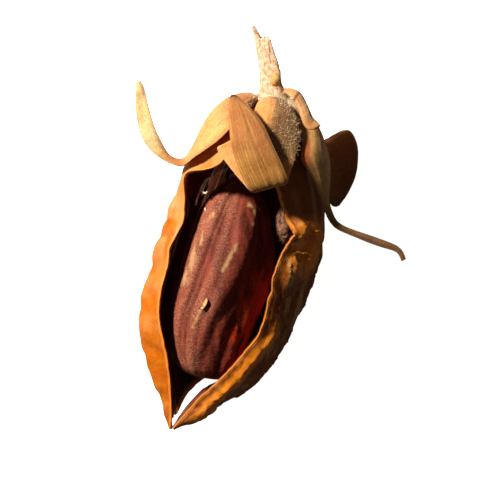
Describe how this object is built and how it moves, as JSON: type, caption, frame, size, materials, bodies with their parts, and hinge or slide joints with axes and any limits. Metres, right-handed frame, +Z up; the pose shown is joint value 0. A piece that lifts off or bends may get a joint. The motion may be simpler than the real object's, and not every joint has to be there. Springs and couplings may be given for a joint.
{
  "type": "jojoba fruit",
  "caption": "Ripe split jojoba fruit lying on its back: open leathery husk round a ridged brown seed, with dried curled sepals and a short torn stalk.",
  "frame": {"origin": "on the surface the fruit lies on, under the middle of its bounding box", "axes": "+Y from the husk's tip to the stalk, +Z up out of the open front, +X to the right of someone looking down on it"},
  "size_m": [0.0216, 0.0324, 0.013],
  "materials": {
    "stalk": "dry fibrous bark",
    "sepal_gold": "dry, finely hairy",
    "sepal_olive": "dry, finely hairy",
    "sepal_pink": "dry, finely hairy",
    "sepal_brown": "dry leathery",
    "husk": "satin, leathery",
    "seed": "dull, finely grained",
    "ovule": "dull, cracked"
  },
  "bodies": {
    "root": {"stalk": "stalk", "sepal_left": "sepal_gold", "sepal_front": "sepal_gold", "sepal_right": "sepal_olive", "sepal_short": "sepal_pink", "sepal_back_right": "sepal_brown", "sepal_back_left": "sepal_brown", "valve_left": "husk", "valve_right": "husk", "valve_back": "husk", "seed": "seed", "shrivelled_ovule": "ovule"}
  },
  "joints": []
}
